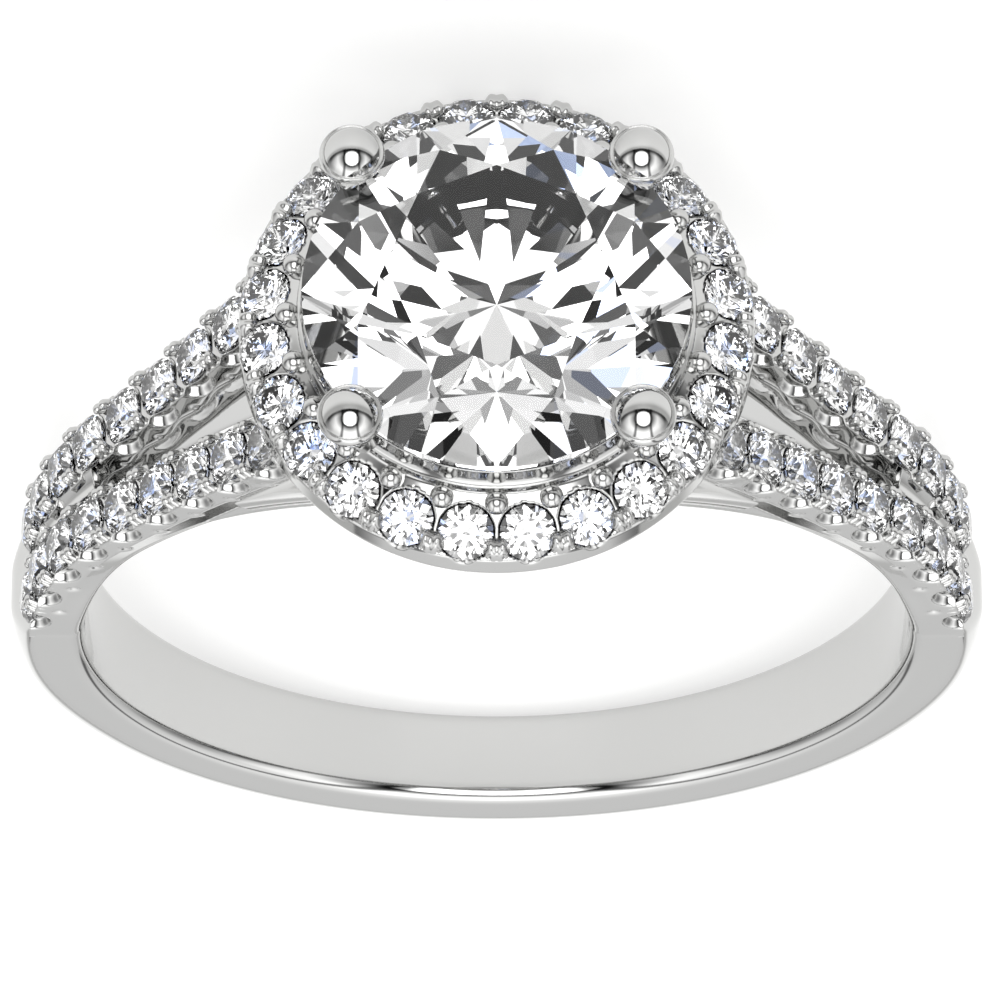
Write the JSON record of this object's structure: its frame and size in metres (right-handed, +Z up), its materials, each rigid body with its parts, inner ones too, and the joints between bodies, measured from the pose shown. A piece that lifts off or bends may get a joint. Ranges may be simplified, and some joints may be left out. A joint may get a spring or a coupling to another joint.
{
  "type": "halo ring",
  "caption": "Finger ring with a large round stone in four claws, a round halo of small stones and split shoulders set with small stones, lying on its side.",
  "frame": {"origin": "on the surface that the ring lies on, under the middle of its length and width", "axes": "+Y from the head to the bottom of the band, along the ring's length; +X across the ring; +Z up, close to the finger's axis"},
  "size_m": [0.02, 0.0249, 0.01],
  "materials": {
    "white_gold": "mirror-polished white gold",
    "diamond_centre": "clear faceted stone",
    "diamond_small": "clear faceted stones"
  },
  "bodies": {
    "root": {"ring_metal": "white_gold", "centre_stone": "diamond_centre", "halo_stone_01": "diamond_small", "halo_stone_02": "diamond_small", "halo_stone_03": "diamond_small", "halo_stone_04": "diamond_small", "halo_stone_05": "diamond_small", "halo_stone_06": "diamond_small", "halo_stone_07": "diamond_small", "halo_stone_08": "diamond_small", "halo_stone_09": "diamond_small", "halo_stone_10": "diamond_small", "halo_stone_11": "diamond_small", "halo_stone_12": "diamond_small", "halo_stone_13": "diamond_small", "halo_stone_14": "diamond_small", "halo_stone_15": "diamond_small", "halo_stone_16": "diamond_small", "halo_stone_17": "diamond_small", "halo_stone_18": "diamond_small", "halo_stone_19": "diamond_small", "halo_stone_20": "diamond_small", "halo_stone_21": "diamond_small", "halo_stone_22": "diamond_small", "halo_stone_23": "diamond_small", "halo_stone_24": "diamond_small", "shoulder_stones_left_front": "diamond_small", "shoulder_stones_left_back": "diamond_small", "shoulder_stones_right_front": "diamond_small", "shoulder_stones_right_back": "diamond_small"}
  },
  "joints": []
}
